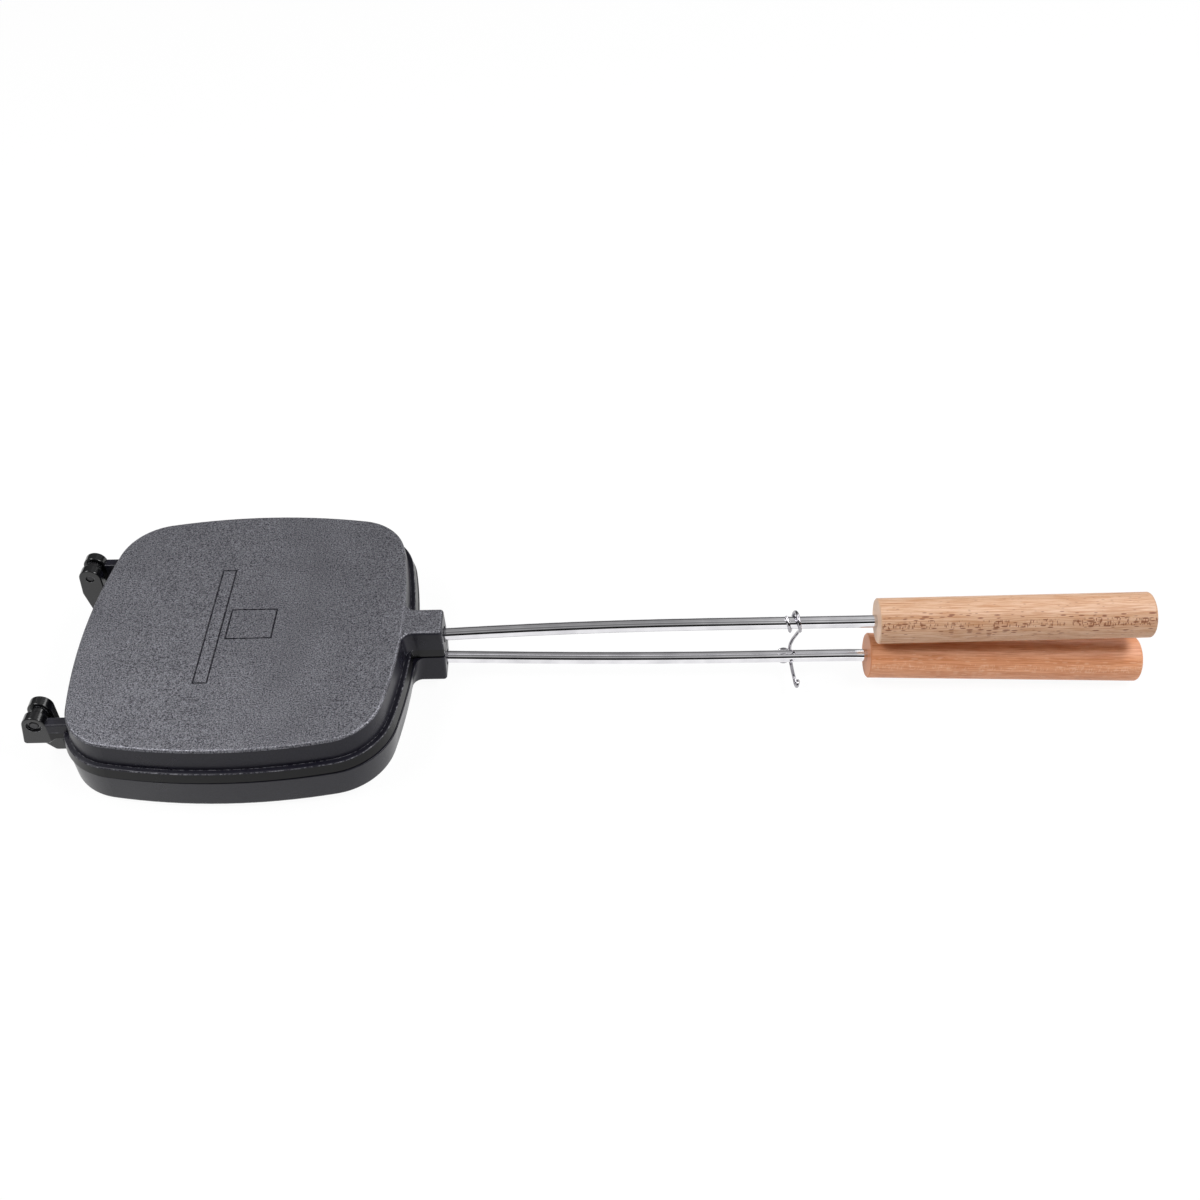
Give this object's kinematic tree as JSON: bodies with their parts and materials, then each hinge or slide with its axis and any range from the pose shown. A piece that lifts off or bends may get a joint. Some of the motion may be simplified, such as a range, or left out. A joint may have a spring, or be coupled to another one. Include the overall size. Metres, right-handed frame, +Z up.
{
  "type": "pie iron",
  "caption": "Hinged cast aluminium camp cooking iron with square bread cavities, steel rods, turned wooden handles and a wire latch hook",
  "frame": {"origin": "centre of the flat base face of the lower half", "axes": "+X from the cooking plates towards the handles, +Y away from the viewer of the picture, +Z up, out of the upper half's face"},
  "size_m": [0.4346, 0.1326, 0.0436],
  "materials": {
    "dark_cast_aluminium": "sand-cast, dark non-stick coat, fine grain",
    "pin_steel": "dark steel",
    "plated_steel": "bright plated",
    "lower_beech": "turned beech, reddish, oiled",
    "upper_beech": "turned beech, pale, oiled"
  },
  "bodies": {
    "lower_half": {"lower_plate": "dark_cast_aluminium", "front_hinge_pin": "pin_steel", "rear_hinge_pin": "pin_steel", "lower_rod": "plated_steel", "lower_handle": "lower_beech"},
    "upper_half": {"upper_plate": "dark_cast_aluminium", "upper_rod": "plated_steel", "upper_handle": "upper_beech"},
    "latch": {"latch_hook": "plated_steel"}
  },
  "joints": [
    {"name": "lid_hinge", "type": "hinge", "parent": "lower_half", "child": "upper_half", "pos_m": [-0.0714, 0, 0.0224], "axis": [0, -1, 0], "range_deg": [0, 180]},
    {"name": "latch_swing", "type": "hinge", "parent": "upper_half", "child": "latch", "pos_m": [0.215, 0, 0.0242], "axis": [1, 0, 0], "range_deg": [0, 120]}
  ]
}
